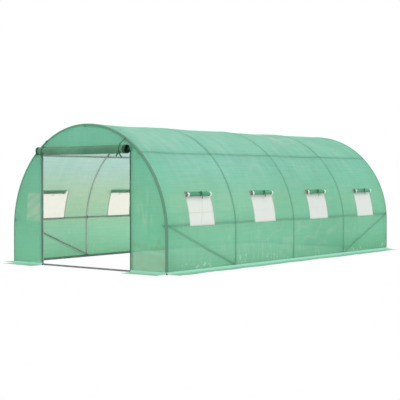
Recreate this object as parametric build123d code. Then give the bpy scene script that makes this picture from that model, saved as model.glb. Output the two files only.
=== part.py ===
from build123d import *
import math
import os

# Polytunnel greenhouse: five tube hoops under one sewn cloth cover. Millimetres.
# Origin on the ground under the middle of the ridge, +Y from the doorway to the rear, +Z up.

# Driving dimensions of the frame
LENGTH = 6000.0  # over the two end hoops
WIDTH = 3000.0  # over the hoop tubes
HEIGHT = 2020.0  # top of the hoop tubes above the ground
BAYS = 4
TUBE = 25.0  # diameter of the hoops, door posts and sill tubes
RAIL = 22.0  # diameter of the purlins, base rails and braces
TUBE_WALL = 0.8
SPIGOT_LENGTH = 60.0  # narrowed end of a hoop tube, inside the tube below it
FIT = 0.3  # clearance where two pieces are seated on each other
TUBE_END_GAP = 1.0  # between two tubes that follow each other in one line
SHOULDER_ANGLE = 47.0  # shoulder purlin, degrees up from the foot of the arch
LOWER_PURLIN_RISE = 120.0  # lower purlin above the foot of the arch
BRACE_FOOT_GAP = 5.0  # brace's foot above the base rail
BRACE_OVERRUN = 8.0  # brace's end past the middle of its hoop

# Driving dimensions of the doorway and its rolled door
DOOR_WIDTH = 1735.0  # clear, between the cloth edges
DOOR_HEAD_DROP = 390.0  # doorway's top edge below the top of the hoops
DOOR_ROLL = 116.0  # diameter
DOOR_ROLL_OVERHANG = 17.5  # roll's ends past the doorway's edges
DOOR_ROLL_RISE = 30.0  # middle of the roll above the doorway's top edge
DOOR_TIE_INSET = 135.0  # each tie from its end of the roll

# Driving dimensions of the cover
CLOTH = 2.0  # stands in for woven cloth of a quarter of a millimetre
SEAM_RISE = 70.0  # roof cloth starts this far above the windows
FLAP_WIDTH = 200.0  # strip of cloth that lies on the ground round the walls
WINDOW_WIDTH = 540.0
WINDOW_HEIGHT = 440.0
WINDOW_RISE = 100.0  # window's bottom edge above the foot of the arch
WINDOW_ROLL = 66.0  # diameter of a rolled window flap
WINDOW_ROLL_LENGTH = 540.0
WINDOW_ROLL_DROP = 15.0  # middle of the roll below the window's top edge
TIE = 1.5  # thickness of a tie's tape
TIE_WIDTH = 20.0

# Places worked out from the driving dimensions
LEG = HEIGHT - WIDTH / 2
DOOR_HEIGHT = HEIGHT - DOOR_HEAD_DROP
WINDOW_SILL = LEG + WINDOW_RISE
WINDOW_HEAD = WINDOW_SILL + WINDOW_HEIGHT
HOOP_OUT = WIDTH / 2
HOOP = HOOP_OUT - TUBE / 2
HOOP_IN = HOOP_OUT - TUBE
END_Y = LENGTH / 2 - TUBE / 2
BAY = 2 * END_Y / BAYS
HOOP_YS = [-END_Y + i * BAY for i in range(BAYS + 1)]
RAIL_X = HOOP_IN - FIT - RAIL / 2
RAIL_Z = RAIL / 2
POST_X = DOOR_WIDTH / 2 + TUBE / 2
COVER_IN = HOOP_OUT + FIT
COVER_OUT = COVER_IN + CLOTH
PANEL_IN = LENGTH / 2 + FIT
PANEL_OUT = PANEL_IN + CLOTH
SEAM_ANGLE = math.degrees(math.asin((WINDOW_HEAD + SEAM_RISE - LEG) / COVER_OUT))
BEYOND = WIDTH + LENGTH + HEIGHT  # longer than the whole object, for cutting tools

# Sections are drawn upright and face the doorway, so a length runs from y towards the front.
FACING_FRONT = dict(x_dir=(1, 0, 0), z_dir=(0, -1, 0))

os.makedirs("parts", exist_ok=True)


def save(node, *solids):
    shape = solids[0] if len(solids) == 1 else Compound(children=list(solids))
    export_step(shape, f"parts/{node}.step")


def save_both_sides(node, *right_solids):
    """For pieces that are alike at both ends, so that the left side is the right side turned round."""
    save(f"right_{node}", *right_solids)
    save(f"left_{node}", *[Rot(0, 0, 180) * solid for solid in right_solids])


def rod(start, end, diameter):
    start, end = Vector(*start), Vector(*end)
    run = end - start
    bar = Cylinder(diameter / 2, run.length, align=(Align.CENTER, Align.CENTER, Align.MIN))
    return Plane(origin=start, z_dir=run) * bar


def tube(start, end, diameter, wall=TUBE_WALL):
    return rod(start, end, diameter) - rod(start, end, diameter - 2 * wall)


def block(low, high):
    size = [b - a for a, b in zip(low, high)]
    return Pos(*low) * Box(*size, align=(Align.MIN, Align.MIN, Align.MIN))


def on_arch(radius, angle):
    turn = math.radians(angle)
    return radius * math.cos(turn), LEG + radius * math.sin(turn)


def bent_tube(y, from_angle, to_angle, diameter=TUBE, wall=TUBE_WALL):
    """Part of a right-hand half hoop, bent about the arch's axis."""
    x, z = on_arch(HOOP, from_angle)
    turn = math.radians(from_angle)
    across = Plane(origin=(x, y, z), z_dir=(-math.sin(turn), 0, math.cos(turn)))
    section = across * (Circle(diameter / 2) - Circle(diameter / 2 - wall))
    return revolve(section, Axis((0, y, LEG), (0, -1, 0)), to_angle - from_angle)


def cover_strip(from_angle, to_angle, foot=0):
    """Right-hand strip of the cover, from one angle of the arch to another, with a straight foot."""
    inside = CenterArc((0, LEG), COVER_IN, from_angle, to_angle - from_angle)
    outside = CenterArc((0, LEG), COVER_OUT, from_angle, to_angle - from_angle)
    inner_foot, outer_foot = inside @ 0 - Vector(0, foot), outside @ 0 - Vector(0, foot)
    outline = [inside, outside, Line(inside @ 1, outside @ 1), Line(inner_foot, outer_foot)]
    if foot:
        outline += [Line(inner_foot, inside @ 0), Line(outer_foot, outside @ 0)]
    rear = Plane(origin=(0, PANEL_OUT, 0), **FACING_FRONT)
    return extrude(rear * make_face(outline), 2 * PANEL_OUT)


def end_cloth(rear_face):
    """Whole end of the tunnel: straight sides and a round head that fit inside the cover."""
    radius = COVER_IN - FIT
    foot = Line((-radius, 0), (radius, 0))
    right = Line((radius, 0), (radius, LEG))
    head = CenterArc((0, LEG), radius, 0, 180)
    left = Line((-radius, LEG), (-radius, 0))
    outline = make_face([foot, right, head, left])
    return extrude(Plane(origin=(0, rear_face, 0), **FACING_FRONT) * outline, CLOTH)


def rail_line(x, z):
    """One straight line of tubes along the tunnel, one tube to a bay."""
    tubes = []
    for i in range(BAYS):
        start = HOOP_YS[i] + (TUBE_END_GAP / 2 if i > 0 else -TUBE / 2)
        end = HOOP_YS[i + 1] - (TUBE_END_GAP / 2 if i < BAYS - 1 else -TUBE / 2)
        tubes.append(tube((x, start, z), (x, end, z), RAIL))
    return tubes


# Hoops: a straight leg, a bent side tube and a bent crown tube on each side. The two bent tubes
# have a narrowed end, a spigot, that goes down into the tube below, with a shoulder that stops it.
SPIGOT = TUBE - 2 * TUBE_WALL - 2 * FIT
SHOULDER_WALL = TUBE / 2 - SPIGOT / 2 + TUBE_WALL
SPIGOT_TURN = math.degrees(SPIGOT_LENGTH / HOOP)
SHOULDER_TURN = math.degrees(2 * TUBE_WALL / HOOP)


def side_tube(y):
    shoulder = bent_tube(y, 0, SHOULDER_TURN, TUBE, SHOULDER_WALL)
    spigot = tube((HOOP, y, LEG - SPIGOT_LENGTH), (HOOP, y, LEG), SPIGOT)
    return bent_tube(y, SHOULDER_TURN, SHOULDER_ANGLE) + shoulder + spigot


def crown_tube(y):
    start = SHOULDER_ANGLE
    shoulder = bent_tube(y, start, start + SHOULDER_TURN, TUBE, SHOULDER_WALL)
    spigot = bent_tube(y, start - SPIGOT_TURN, start, SPIGOT)
    return bent_tube(y, start + SHOULDER_TURN, 90) + shoulder + spigot


save_both_sides("legs", *[tube((HOOP, y, 0), (HOOP, y, LEG), TUBE) for y in HOOP_YS])
save_both_sides("side_tubes", *[side_tube(y) for y in HOOP_YS])
save_both_sides("crown_tubes", *[crown_tube(y) for y in HOOP_YS])

# Purlins and base rails, bolted to the inside of the hoops
PURLIN = HOOP_IN - FIT - RAIL / 2
LOWER_X = math.sqrt(PURLIN**2 - LOWER_PURLIN_RISE**2)
LOWER_Z = LEG + LOWER_PURLIN_RISE
SHOULDER_X, SHOULDER_Z = on_arch(PURLIN, SHOULDER_ANGLE)
save("ridge_purlin", *rail_line(0, LEG + PURLIN))
save_both_sides("shoulder_purlin", *rail_line(SHOULDER_X, SHOULDER_Z))
save_both_sides("lower_purlin", *rail_line(LOWER_X, LOWER_Z))
save_both_sides("base_rail", *rail_line(RAIL_X, RAIL_Z))

# Braces in the end bays, from the inside of the lower purlin at the end hoop down to the leg of
# the next hoop, just above the base rail
BRACE_HEAD_X = LOWER_X - RAIL - FIT
BRACE_FOOT_Z = RAIL + BRACE_FOOT_GAP + RAIL / 2


def brace(end_hoop_y, next_hoop_y):
    head = Vector(BRACE_HEAD_X, end_hoop_y, LOWER_Z)
    foot = Vector(RAIL_X, next_hoop_y, BRACE_FOOT_Z)
    along = (foot - head).normalized() * BRACE_OVERRUN
    return tube(head - along, foot + along, RAIL)


save_both_sides("braces", brace(HOOP_YS[0], HOOP_YS[1]), brace(HOOP_YS[-1], HOOP_YS[-2]))

# Sill tube, two posts and a header at each end, in the plane of the hoop: the posts stand on the
# sill and end under the hoop, the header fits between them
SILL_HALF = RAIL_X - RAIL / 2 - FIT
HEADER_HALF = POST_X - TUBE / 2 - FIT
HEADER_Z = DOOR_HEIGHT + TUBE / 2
POST_FOOT = TUBE + FIT
POST_TOP = LEG + math.sqrt((HOOP_IN - FIT) ** 2 - (POST_X + TUBE / 2) ** 2)
for end, side in (("front", -1), ("rear", 1)):
    y = side * END_Y
    save(f"{end}_sill_tube", tube((-SILL_HALF, y, TUBE / 2), (SILL_HALF, y, TUBE / 2), TUBE))
    save(f"{end}_posts", *[tube((x, y, POST_FOOT), (x, y, POST_TOP), TUBE) for x in (-POST_X, POST_X)])
    save(f"{end}_header", tube((-HEADER_HALF, y, HEADER_Z), (HEADER_HALF, y, HEADER_Z), TUBE))

# Side cloth from the ground to above the windows, with the four windows cut through it
side_cloth = cover_strip(0, SEAM_ANGLE, foot=LEG)
WINDOW_YS = [(a + b) / 2 for a, b in zip(HOOP_YS, HOOP_YS[1:])]


def window_space(y, clearance):
    half = WINDOW_WIDTH / 2 - clearance
    low = (0, y - half, WINDOW_SILL + clearance)
    return block(low, (BEYOND, y + half, WINDOW_HEAD - clearance))


wall = side_cloth
for y in WINDOW_YS:
    wall -= window_space(y, 0)
save_both_sides("side_cloth", wall)
save_both_sides("roof_cloth", cover_strip(SEAM_ANGLE, 90))

# Window nets, each in its opening
save_both_sides("window_nets", *[side_cloth & window_space(y, FIT) for y in WINDOW_YS])

# Window flaps, rolled up over the top edge of each window and held by a tape in the middle
ROLL_R = WINDOW_ROLL / 2
ROLL_OUT = COVER_OUT + FIT + TIE + FIT + ROLL_R
ROLL_Z = WINDOW_HEAD - WINDOW_ROLL_DROP
ROLL_X = math.sqrt(ROLL_OUT**2 - (ROLL_Z - LEG) ** 2)


def tape_ring(centre, direction, roll_radius):
    """Tape that goes round a roll, a flat ring."""
    middle = Plane(origin=centre, z_dir=direction)
    bore = roll_radius + FIT
    ring = Cylinder(bore + TIE, TIE_WIDTH) - Cylinder(bore, TIE_WIDTH)
    return middle * ring


def window_roll(y):
    half = WINDOW_ROLL_LENGTH / 2
    return rod((ROLL_X, y - half, ROLL_Z), (ROLL_X, y + half, ROLL_Z), WINDOW_ROLL)


save_both_sides("window_rolls", *[window_roll(y) for y in WINDOW_YS])
save_both_sides("window_ties", *[tape_ring((ROLL_X, y, ROLL_Z), (0, 1, 0), ROLL_R) for y in WINDOW_YS])

# Front cloth beside and over the doorway, and the closed rear cloth
front = end_cloth(-PANEL_IN)
doorway_side = DOOR_WIDTH / 2
right_part = block((doorway_side, -BEYOND, 0), (BEYOND, BEYOND, BEYOND))
left_part = block((-BEYOND, -BEYOND, 0), (-doorway_side, BEYOND, BEYOND))
over = block((-doorway_side, -BEYOND, DOOR_HEIGHT), (doorway_side, BEYOND, BEYOND))
save("right_front_cloth", front & right_part)
save("left_front_cloth", front & left_part)
save("over_door_cloth", front & over)
save("rear_cloth", end_cloth(PANEL_OUT))

# Door cloth, rolled up over the doorway and held by two tapes
DOOR_ROLL_R = DOOR_ROLL / 2
DOOR_ROLL_Y = -(PANEL_OUT + FIT + TIE + FIT + DOOR_ROLL_R)
DOOR_ROLL_Z = DOOR_HEIGHT + DOOR_ROLL_RISE
roll_half = doorway_side + DOOR_ROLL_OVERHANG
tie_half = roll_half - DOOR_TIE_INSET
roll_ends = [(x, DOOR_ROLL_Y, DOOR_ROLL_Z) for x in (-roll_half, roll_half)]
tie_places = [(x, DOOR_ROLL_Y, DOOR_ROLL_Z) for x in (-tie_half, tie_half)]
save("door_roll", rod(*roll_ends, DOOR_ROLL))
save("door_ties", *[tape_ring(place, (1, 0, 0), DOOR_ROLL_R) for place in tie_places])

# Flaps on the ground, square at their ends, so the corners stay open
save_both_sides("side_flap", block((COVER_OUT, -PANEL_OUT, 0), (COVER_OUT + FLAP_WIDTH, PANEL_OUT, CLOTH)))
front_reach = -(PANEL_OUT + FLAP_WIDTH)
save("right_front_flap", block((doorway_side, front_reach, 0), (COVER_OUT, -PANEL_OUT, CLOTH)))
save("left_front_flap", block((-COVER_OUT, front_reach, 0), (-doorway_side, -PANEL_OUT, CLOTH)))
save("rear_flap", block((-COVER_OUT, PANEL_OUT, 0), (COVER_OUT, PANEL_OUT + FLAP_WIDTH, CLOTH)))
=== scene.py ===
import math
import bmesh
import bpy
from mathutils import Matrix, Vector, noise


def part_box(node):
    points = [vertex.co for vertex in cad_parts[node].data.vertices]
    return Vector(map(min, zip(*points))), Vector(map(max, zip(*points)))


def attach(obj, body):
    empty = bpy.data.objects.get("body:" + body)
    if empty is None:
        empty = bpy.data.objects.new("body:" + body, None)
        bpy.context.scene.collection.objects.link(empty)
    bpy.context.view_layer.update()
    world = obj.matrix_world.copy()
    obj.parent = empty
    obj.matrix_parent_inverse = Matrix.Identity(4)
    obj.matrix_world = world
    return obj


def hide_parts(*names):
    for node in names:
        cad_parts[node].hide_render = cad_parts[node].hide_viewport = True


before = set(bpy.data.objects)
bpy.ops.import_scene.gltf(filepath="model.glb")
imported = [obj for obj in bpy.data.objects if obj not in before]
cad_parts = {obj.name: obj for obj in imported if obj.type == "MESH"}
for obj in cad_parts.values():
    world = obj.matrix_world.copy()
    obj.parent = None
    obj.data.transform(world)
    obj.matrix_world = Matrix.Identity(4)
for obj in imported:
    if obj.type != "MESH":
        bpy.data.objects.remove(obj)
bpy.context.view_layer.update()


# Frame tubes: round steel tube, zinc coated, 25 mm for the hoops, posts and sills and 22 mm for the
# purlins, rails and braces. The hoops are bent and pushed together; the CAD meshes stay as they are.
TUBE = 0.025
RAIL = 0.022
TUBE_NODES = [f"{end}_{part}" for end in ("front", "rear") for part in ("header", "posts", "sill_tube")]
TUBE_NODES += [f"{side}_{part}" for side in ("left", "right") for part in (
    "legs", "side_tubes", "crown_tubes", "shoulder_purlin", "lower_purlin", "base_rail", "braces")]
TUBE_NODES.append("ridge_purlin")


def paint(red, green, blue):
    """A colour given from 0 to 255, as a shader takes it."""
    parts = [part / 255 for part in (red, green, blue)]
    return [part / 12.92 if part < 0.04 else ((part + 0.055) / 1.055) ** 2.4 for part in parts] + [1.0]


def node_tools(tree):
    """A call that adds a node to a shader, with its sockets set or joined, and one that joins two sockets."""
    tree.nodes.clear()

    def add(kind, settings=None, **sockets):
        node = tree.nodes.new("ShaderNode" + kind)
        for setting, value in (settings or {}).items():
            setattr(node, setting, value)
        for name, value in sockets.items():
            socket = node.inputs[int(name[1:])] if name[0] == "_" else node.inputs[name.replace("_", " ")]
            if isinstance(value, bpy.types.NodeSocket):
                tree.links.new(value, socket)
            else:
                socket.default_value = value
        return node

    def join(start, end):
        tree.links.new(start, end)

    return add, join


def new_finish(name):
    """An empty material, its calls that add and join nodes, and its surface socket."""
    finish = bpy.data.materials.new(name)
    finish.use_nodes = True
    add, join = node_tools(finish.node_tree)
    return finish, add, join, add("OutputMaterial").inputs["Surface"]


def between(add, factor, first, second):
    """First colour where the factor is 0, second where it is 1."""
    return add("Mix", {"data_type": "RGBA"}, _0=factor, _6=first, _7=second).outputs[2]


def spread(add, value, low, high, to_low=0.0, to_high=1.0):
    """A value that runs from low to high, stretched to another range and held inside it."""
    sockets = dict(Value=value, From_Min=low, From_Max=high, To_Min=to_low, To_Max=to_high)
    return add("MapRange", **sockets).outputs["Result"]


def noisy(add, place, scale, detail, roughness=0.5):
    """Clouds or grain: a value round 0.5 that changes from place to place."""
    return add("TexNoise", Vector=place, Scale=scale, Detail=detail, Roughness=roughness).outputs["Fac"]


def zinc_finish(name, bright, dull, olive_level):
    """Zinc coating: fine spangle, clouded where it has weathered."""
    finish, add, join, surface = new_finish(name)
    place = add("TexCoord").outputs["Object"]
    spangle = noisy(add, place, 90.0, 4.0)
    cloudy = noisy(add, place, 7.0, 3.0)
    tone = between(add, spread(add, spangle, 0.35, 0.65), dull, bright)
    tone = between(add, spread(add, cloudy, 0.45, 0.75), tone, olive_level)
    rough = spread(add, cloudy, 0.3, 0.7, 0.38, 0.54)
    grain = add("Bump", Strength=0.15, Distance=0.0004, Height=spangle).outputs["Normal"]
    join(add("BsdfPrincipled", Base_Color=tone, Metallic=0.2, Roughness=rough, Normal=grain).outputs[0], surface)
    return finish


# Three copies of the one zinc: the plain one for most tubes, a paler one for the legs and side tubes as painted light,
# and a darker one as painted shade for the sill tubes, base rails and header, where they lie in shade.
zinc = zinc_finish("zinc_tube", paint(176, 176, 175), paint(154, 156, 154), paint(142, 144, 142))
pale_zinc = zinc_finish("pale_zinc_tube", paint(222, 220, 218), paint(204, 203, 201), paint(192, 191, 189))
shaded_zinc = zinc_finish("shaded_zinc_tube", paint(136, 138, 137), paint(114, 117, 115), paint(96, 100, 97))
tube_looks = {"legs": pale_zinc, "side_tubes": pale_zinc, "sill_tube": shaded_zinc, "base_rail": shaded_zinc,
              "header": shaded_zinc}
SHARP_EDGE = math.radians(35)
for node in TUBE_NODES:
    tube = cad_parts[node]
    tube.data.materials.clear()
    tube.data.materials.append(tube_looks.get(node.split("_", 1)[1], zinc))
    tube.data.shade_smooth()
    tube.data.set_sharp_from_angle(angle=SHARP_EDGE)


# Fittings: a pressed steel saddle holds the purlin ends to each hoop with two bolts, a half saddle holds
# the base rail to each leg, bolts go through the braces, and split sleeves hold sill, post and header.
STRIP = 0.0015
SADDLE_WIDTH = 0.024
LUG = 0.012
SADDLE_FIT = 0.0004
SLEEVE = TUBE / 2 + 0.0008
SILL_TEE, HEADER_TEE = 0.052, 0.048  # lengths of the sleeves that go past a joint
POST_FOOT_SLEEVE, HEADER_SLEEVE, POST_HEAD_SLEEVE = 0.040, 0.036, 0.026
# Washer, nut, the nut's bevelled top, thread and the thread's rounded end: foot, radius, height, sides, top radius
BOLT_PARTS = ((0.0, 0.0065, 0.0012, 20, 0.0065), (0.0012, 0.0052, 0.0036, 6, 0.0052),
              (0.0048, 0.0052, 0.0008, 6, 0.0044), (0.0056, 0.0029, 0.0030, 12, 0.0029),
              (0.0086, 0.0029, 0.0008, 12, 0.0020))


def box_of(node):
    """Lowest and highest corner of a CAD node."""
    return [Vector(corner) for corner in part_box(node)]


leg_low, leg_high = box_of("right_legs")
arch_foot = leg_high.z
bay = (leg_high.y - leg_low.y - TUBE) / 4
hoop_ys = [leg_low.y + TUBE / 2 + i * bay for i in range(5)]


def linked(name, data):
    """A new object, put into the scene."""
    thing = bpy.data.objects.new(name, data)
    bpy.context.scene.collection.objects.link(thing)
    return thing


def new_piece(name, mesh, slot, *nodes):
    """A piece on the tunnel's one body, with the CAD nodes that it stands for, which it hides. Its slot is not used."""
    piece = linked(name, mesh)
    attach(piece, "root")
    if nodes:
        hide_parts(*nodes)
    return piece


def turned_part(shape, foot, upward, radius, height, sides, top):
    """A turned or hexagonal part of a fitting that stands on foot."""
    turn = upward.to_track_quat("Z", "Y").to_matrix().to_4x4()
    middle = Matrix.Translation(foot + upward * height / 2)
    bmesh.ops.create_cone(shape, cap_ends=True, segments=sides, radius1=radius, radius2=top, depth=height,
                          matrix=middle @ turn)


def bolt_end(shape, foot, upward):
    for start, radius, height, sides, top in BOLT_PARTS:
        turned_part(shape, foot + upward * start, upward, radius, height, sides, top)


def saddle(shape, y, centre, inward, lugs):
    """Strip bent over a rail; centre is the rail's middle (x, z), inward points from hoop to rail."""
    inward = Vector(inward).normalized()
    side = Vector((-inward.y, inward.x))
    bend = RAIL / 2 + SADDLE_FIT
    line = []
    if 1 in lugs:
        line += [(side * (bend + LUG) - inward * bend, inward), (side * bend - inward * bend, inward)]
    for i in range(0 if 1 in lugs else 4, 15 if -1 in lugs else 11):  # a side without a lug stops short of the hoop
        turn = math.pi * i / 14
        out = side * math.cos(turn) + inward * math.sin(turn)
        line.append((out * bend, out))
    if -1 in lugs:
        line += [(-side * bend - inward * bend, inward), (-side * (bend + LUG) - inward * bend, inward)]
    rings = []
    for flat, out in line:
        ring = []
        for lift, shift in ((0, -1), (STRIP, -1), (STRIP, 1), (0, 1)):
            spot = Vector(centre) + flat + out * lift
            ring.append(shape.verts.new((spot.x, y + shift * SADDLE_WIDTH / 2, spot.y)))
        rings.append(ring)
    for here, after in zip(rings, rings[1:]):
        for i in range(4):
            shape.faces.new((here[i], here[(i + 1) % 4], after[(i + 1) % 4], after[i]))
    shape.faces.new(rings[0][::-1])
    shape.faces.new(rings[-1])
    for lug in lugs:
        foot = Vector(centre) + side * lug * (bend + LUG * 0.55) + inward * (STRIP - bend)
        bolt_end(shape, Vector((foot.x, y, foot.y)), Vector((inward.x, 0, inward.y)))


def solid_piece(name, shape, finish, slot, *nodes, sharp=SHARP_EDGE):
    """Closed shapes as one piece of one finish."""
    bmesh.ops.recalc_face_normals(shape, faces=shape.faces)
    mesh = bpy.data.meshes.new(name)
    shape.to_mesh(mesh)
    shape.free()
    mesh.materials.append(finish)
    mesh.shade_smooth()
    mesh.set_sharp_from_angle(angle=sharp)
    new_piece(name, mesh, slot, *nodes)


saddles = bmesh.new()
rail_lines = []
for node in ("ridge_purlin", "right_shoulder_purlin", "left_shoulder_purlin", "right_lower_purlin",
             "left_lower_purlin"):
    low, high = box_of(node)
    rail_lines.append(((low.x + high.x) / 2, (low.z + high.z) / 2))
for x, z in rail_lines:
    for y in hoop_ys:
        saddle(saddles, y, (x, z), (-x, arch_foot - z), (1, -1))
solid_piece("purlin_saddles", saddles, zinc, "tube_steel")

rail_saddles = bmesh.new()
rail_x = sum(corner.x for corner in box_of("right_base_rail")) / 2
for y in hoop_ys:
    saddle(rail_saddles, y, (rail_x, RAIL / 2), (-1, 0), (-1,))
    saddle(rail_saddles, y, (-rail_x, RAIL / 2), (1, 0), (1,))
solid_piece("base_rail_saddles", rail_saddles, zinc, "tube_steel")

brace_bolts = bmesh.new()
brace_low, brace_high = box_of("right_braces")
BRACE_FOOT = 0.013  # the foot's bolt sits this far over the tube's lowest point
brace_head = (brace_low.x, rail_lines[3][1])
brace_foot = (brace_high.x - RAIL, brace_low.z + BRACE_FOOT)
for side in (-1, 1):
    for hoop, (x, z) in ((0, brace_head), (4, brace_head), (1, brace_foot), (3, brace_foot)):
        bolt_end(brace_bolts, Vector((side * x, hoop_ys[hoop], z)), Vector((-side, 0, 0)))
solid_piece("brace_bolts", brace_bolts, zinc, "tube_steel")

post_fittings = bmesh.new()
post_low, post_high = box_of("front_posts")
post_x = post_high.x - TUBE / 2
header_z = sum(corner.z for corner in box_of("front_header")) / 2
up = Vector((0, 0, 1))
for end in (-1, 1):
    post_y = end * abs(post_low.y + post_high.y) / 2
    inward = Vector((0, -end, 0))
    for side in (-1, 1):
        across = Vector((-side, 0, 0))
        post = Vector((side * post_x, post_y, 0))
        sleeves = ((up * TUBE / 2 - across * SILL_TEE / 2, across, SILL_TEE), (up * TUBE, up, POST_FOOT_SLEEVE),
                   (up * (header_z - HEADER_TEE / 2), up, HEADER_TEE),
                   (up * header_z + across * TUBE / 2, across, HEADER_SLEEVE),
                   (up * (post_high.z - 0.030), up, POST_HEAD_SLEEVE))
        for foot, way, length in sleeves:
            turned_part(post_fittings, post + foot, way, SLEEVE, length, 28, SLEEVE)
        for foot in (up * 0.048, up * (post_high.z - 0.018), up * header_z + across * 0.036,
                     up * TUBE / 2 + across * 0.016):
            bolt_end(post_fittings, post + foot + inward * SLEEVE, inward)
for vert in post_fittings.verts:
    vert.co.z = max(vert.co.z, 0.0002)  # a sleeve's underside is pressed flat on the ground
solid_piece("post_fittings", post_fittings, zinc, "tube_steel")


# Cover: one sheet of woven green cloth, coated and half see-through, laid over the hoops from the ground on
# the left to the ground on the right, with four windows cut through each wall. It sags a little between hoops.
CLOTH = 0.002  # thickness of the CAD cloth, whose middle the cover follows
cover_radius = box_of("right_side_cloth")[1].x - CLOTH / 2
cover_round = 2 * arch_foot + math.pi * cover_radius
hem_corner = TUBE / 2  # the cloth turns round the end hoop
cover_end = box_of("right_side_cloth")[1].y - hem_corner
net_low, net_high = box_of("right_window_nets")
window_half = (net_high.y - net_low.y - 3 * bay) / 2
window_ys = [y + bay / 2 for y in hoop_ys[:4]]
WINDOW_FIT = 0.0003
sill, head = net_low.z - WINDOW_FIT, net_high.z + WINDOW_FIT
CROWN_SAG = 0.012
SIDE_SAG = 0.004
PURLIN_DEPTH = 0.0255  # purlins lie this far inside the cover
bay_sag = (0.85, 1.0, 1.2, 0.95)


def round_hoop(along):
    """Place (x, z) and outward direction on the cover's line, along metres from the ground on the left."""
    if along < arch_foot:
        return Vector((-cover_radius, along)), Vector((-1, 0))
    turn = (along - arch_foot) / cover_radius
    if turn > math.pi:
        return Vector((cover_radius, cover_round - along)), Vector((1, 0))
    out = Vector((-math.cos(turn), math.sin(turn)))
    return Vector((0, arch_foot)) + out * cover_radius, out


def along_at(z):
    """How far along the cover's line the right-hand wall passes a height."""
    if z < arch_foot:
        return cover_round - z
    return arch_foot + cover_radius * (math.pi - math.asin((z - arch_foot) / cover_radius))


purlin_lines = []
for x, z in rail_lines:
    turn = math.atan2(z - arch_foot, -x)
    purlin_lines.append(arch_foot + turn * cover_radius)


def sag(y, along):
    """How far the cloth hangs inside the line of the hoops."""
    bays = min(max((y - hoop_ys[0]) / bay, 0.0), 3.9999)
    number, part = int(bays), bays - int(bays)
    if abs(y) > abs(hoop_ys[0]):
        part = 0.0
    held = 4 * part * (1 - part)
    rise = max(0.0, math.sin((along - arch_foot) / cover_radius)) if along > arch_foot else 0.0
    depth = (SIDE_SAG + (CROWN_SAG - SIDE_SAG) * rise ** 0.7) * bay_sag[number] * held
    slant = 0.35 if along < cover_round / 2 else -0.35
    rolling = noise.noise((y * 1.9 + along * slant, along * 1.1, 4.2)) * 0.006
    cross = y * 7.5 + (along - cover_round / 2) * slant * 9
    run = along * 1.7 - y * slant * 2
    folds = noise.noise((cross, run, 9.5)) * 0.0035 + noise.noise((cross * 2.1, run * 1.6, 2.5)) * 0.0014
    calm = min(1.0, held * 1.6) * min(1.0, along / 0.15, (cover_round - along) / 0.15)
    patch = 0.45 + 0.9 * max(0.0, noise.noise((y * 0.9, along * 0.8, 7.1)) + 0.2)
    depth += (rolling + folds * patch) * calm
    nearest = min(abs(along - line) for line in purlin_lines)
    floor = PURLIN_DEPTH - 0.003 + 0.2 * nearest
    return max(-0.006, min(depth, floor))


def on_cover(y, along, lift=0.0):
    """Point of the cover, or of what lies on it, lift metres proud of it."""
    spot, out = round_hoop(along)
    spot = spot + out * (lift - sag(y, along))
    return Vector((spot.x, y, spot.y))


def spaced(marks, step):
    """Places from the first mark to the last, every mark among them, about a step apart."""
    marks = sorted(marks)
    places = [marks[0]]
    for start, end in zip(marks, marks[1:]):
        parts = max(1, round((end - start) / step))
        places += [start + (end - start) * i / parts for i in range(1, parts + 1)]
    return places


def sheet_mesh(name, flat_rows, flat_columns, point_at, cut=None, finish=None, outward=True, cloth_marks_at=None):
    """Sheet over a grid of flat places, in space where point_at says, without the squares that cut names.
    The mark function says how sharply it is creased at a flat place or how pale it is painted there, as painted
    highlights and painted light, and below 0 how olive."""
    numbers, points, flats, faces = {}, [], [], []

    def number(row, column):
        if (row, column) not in numbers:
            flat = (flat_rows[row], flat_columns[column])
            numbers[row, column] = len(points)
            points.append(point_at(*flat))
            flats.append(flat)
        return numbers[row, column]

    for row in range(len(flat_rows) - 1):
        for column in range(len(flat_columns) - 1):
            middle = ((flat_rows[row] + flat_rows[row + 1]) / 2, (flat_columns[column] + flat_columns[column + 1]) / 2)
            if cut and cut(*middle):
                continue
            corners = ((row, column), (row, column + 1), (row + 1, column + 1), (row + 1, column))
            faces.append([number(*corner) for corner in corners])
    mesh = bpy.data.meshes.new(name)
    mesh.from_pydata(points, [], faces)
    cloth_map = mesh.uv_layers.new(name="cloth")
    cloth_map.uv.foreach_set("vector", [value for face in faces for corner in face for value in flats[corner]])
    if cloth_marks_at:
        mark_values = mesh.attributes.new("crease", "FLOAT", "POINT")
        mark_values.data.foreach_set("value", [cloth_marks_at(*flat) for flat in flats])
    if not outward:
        mesh.flip_normals()
    mesh.shade_smooth()
    if finish:
        mesh.materials.append(finish)
    return mesh


def times(add, first, second):
    return add("Math", {"operation": "MULTIPLY"}, _0=first, _1=second).outputs[0]


def larger(add, first, second):
    return add("Math", {"operation": "MAXIMUM"}, _0=first, _1=second).outputs[0]


def blended(add, value, stops):
    """A colour that changes with a value, through (value, colour) stops."""
    tone = stops[0][1]
    for (low, _), (high, colour) in zip(stops, stops[1:]):
        tone = between(add, spread(add, value, low, high), tone, colour)
    return tone


# How far the drawn lines of the tubes stray. The noise also shifts them as far to the left, so it is added to them.
SWAY = 0.015


def line_mask(add, flat, start, end, half_width):
    """1 along a line drawn on the cloth from start to end, 0 away from it."""
    start, run = Vector((*start, 0.0)), Vector((*end, 0.0)) - Vector((*start, 0.0))
    reached = add("VectorMath", {"operation": "SUBTRACT"}, _0=flat, _1=start).outputs[0]
    share = add("VectorMath", {"operation": "DOT_PRODUCT"}, _0=reached, _1=run / run.length_squared).outputs["Value"]
    foot = add("VectorMath", {"operation": "SCALE"}, _0=run, Scale=spread(add, share, 0.0, 1.0)).outputs[0]
    beside = add("VectorMath", {"operation": "DISTANCE"}, _0=reached, _1=foot).outputs["Value"]
    return spread(add, beside, half_width * 0.6, half_width * 1.7, 1.0, 0.0)


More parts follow.
